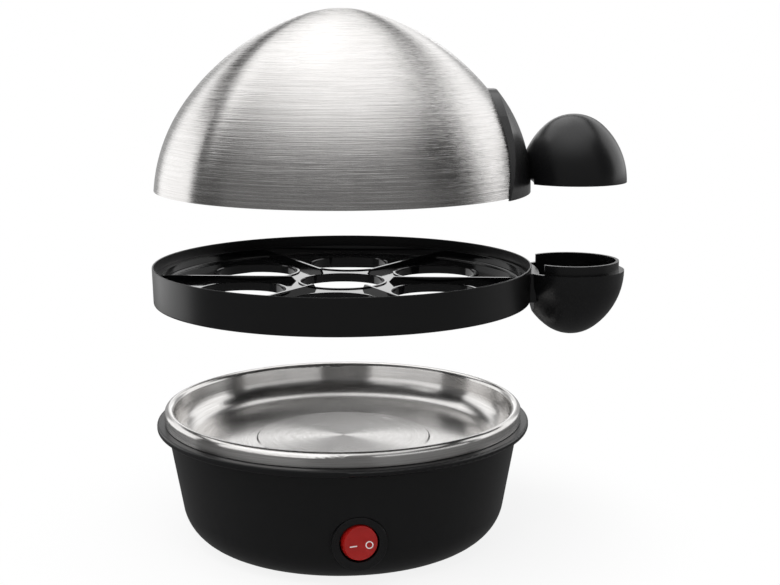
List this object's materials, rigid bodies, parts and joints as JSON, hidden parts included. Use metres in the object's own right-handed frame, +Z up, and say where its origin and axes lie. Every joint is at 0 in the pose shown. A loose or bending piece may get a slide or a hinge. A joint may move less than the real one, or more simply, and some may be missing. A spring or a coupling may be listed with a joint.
{
  "type": "egg boiler",
  "caption": "Household egg boiler, opened out: round base with a steel heating dish and a red rocker switch, lift-out egg tray, and a steel dome with an egg-shaped grip.",
  "frame": {"origin": "on the dome's upright axis, level with the underside of the feet", "axes": "+Z up, +X towards the egg-shaped grip, -Y towards the rocker switch"},
  "size_m": [0.2233, 0.1786, 0.2507],
  "materials": {
    "black_plastic": "fine satin texture",
    "tray_plastic": "half-gloss black",
    "dome_steel": "brushed round the axis",
    "dish_steel": "spun and polished",
    "zinc_steel": "zinc plated",
    "plate_steel": "plain sheet",
    "cast_aluminium": "cast",
    "contact_brass": "plain",
    "red_plastic": "translucent red",
    "lamp_glass": "clear",
    "black_rubber": "matt",
    "grey_silicone": "matt",
    "white_plastic": "plain",
    "dark_phenolic": "moulded",
    "wire_sleeve": "braided sleeve",
    "heater_sheath": "heat tinted"
  },
  "bodies": {
    "base": {"base_housing": "black_plastic", "bottom_cover": "black_plastic", "cover_screws": "zinc_steel", "rubber_feet": "black_rubber", "cord_grommet": "black_rubber", "terminal_block": "white_plastic", "terminal_screws": "contact_brass", "heating_dish": "dish_steel", "dish_gasket": "grey_silicone", "dish_studs": "zinc_steel", "dish_stud_nuts": "zinc_steel", "heat_spreader": "cast_aluminium", "heater_element": "heater_sheath", "element_clamp": "plate_steel", "clamp_studs": "zinc_steel", "clamp_nuts": "zinc_steel", "heat_shield": "plate_steel", "thermostat": "dark_phenolic", "thermal_fuse": "white_plastic", "lead_feed": "wire_sleeve", "lead_switched": "wire_sleeve", "lead_element": "wire_sleeve", "lead_neutral": "wire_sleeve", "lead_earth": "wire_sleeve", "switch_body": "black_plastic", "switch_blades": "contact_brass"},
    "rocker": {"rocker_button": "red_plastic", "rocker_plunger": "white_plastic", "indicator_lamp": "lamp_glass"},
    "lever": {"contact_lever": "contact_brass"},
    "tray": {"egg_tray": "tray_plastic", "tray_cup": "black_plastic"},
    "lid": {"lid_dome": "dome_steel", "lid_bracket": "black_plastic", "upper_egg_shell": "black_plastic", "handle_backplate": "black_plastic", "handle_screws": "zinc_steel"}
  },
  "joints": [
    {"name": "tray_lift", "type": "slide", "parent": "base", "child": "tray", "axis": [0, 0, 1], "range_m": [-0.0569, 0]},
    {"name": "lid_lift", "type": "slide", "parent": "tray", "child": "lid", "axis": [0, 0, 1], "range_m": [-0.0405, 0]},
    {"name": "rocker_tilt", "type": "hinge", "parent": "base", "child": "rocker", "pos_m": [0.00659, -0.07531, 0.0215], "axis": [0, 0, 1], "range_deg": [-18, 0]},
    {"name": "lever_tilt", "type": "hinge", "parent": "base", "child": "lever", "pos_m": [0.00575, -0.06575, 0.0215], "axis": [0, 0, 1], "range_deg": [0, 14]}
  ],
  "couplings": [
    {"joint": "lever_tilt", "follows": "rocker_tilt", "ratio": -0.77778}
  ]
}
